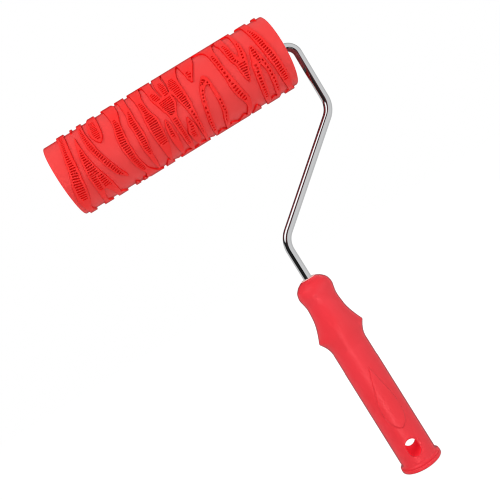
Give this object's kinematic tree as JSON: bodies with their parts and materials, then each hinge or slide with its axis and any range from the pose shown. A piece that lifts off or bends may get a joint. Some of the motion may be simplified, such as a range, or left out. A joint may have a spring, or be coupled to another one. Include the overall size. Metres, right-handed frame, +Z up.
{
  "type": "textured pattern roller",
  "caption": "Hand roller with a relief-moulded rubber sleeve that turns on a cranked wire frame, held by a straight winged handle with a hanging slot.",
  "frame": {"origin": "centre of the flat butt face at the handle's lower end, on the handle's axis", "axes": "+Z up the handle towards the roller, +X towards the side the wire's drop leg is on, Y across the flat of the frame"},
  "size_m": [0.1935, 0.0566, 0.3308],
  "materials": {
    "sleeve_rubber": "satin moulded rubber, saturated red",
    "core_plastic": "extruded, off-white",
    "hub_plastic": "moulded, near black",
    "cap_plastic": "moulded, red",
    "bush_nylon": "natural nylon",
    "zinc_steel": "bright zinc plate",
    "wire_chrome": "mirror chrome plate",
    "handle_plastic": "smooth moulded, soft gloss red"
  },
  "bodies": {
    "frame": {"wire_frame": "wire_chrome", "stop_collar": "zinc_steel", "near_washer": "zinc_steel", "far_washer": "zinc_steel", "spring_washer": "zinc_steel", "lock_nut": "zinc_steel", "handle": "handle_plastic"},
    "roller": {"pattern_sleeve": "sleeve_rubber", "core_tube": "core_plastic", "near_hub": "hub_plastic", "far_hub": "hub_plastic", "near_bush": "bush_nylon", "far_bush": "bush_nylon", "near_cap": "cap_plastic", "far_cap": "cap_plastic"}
  },
  "joints": [
    {"name": "roller_spin", "type": "hinge", "parent": "frame", "child": "roller", "pos_m": [-0.0206, 0, 0.3025], "axis": [1, 0, 0], "continuous": true}
  ]
}
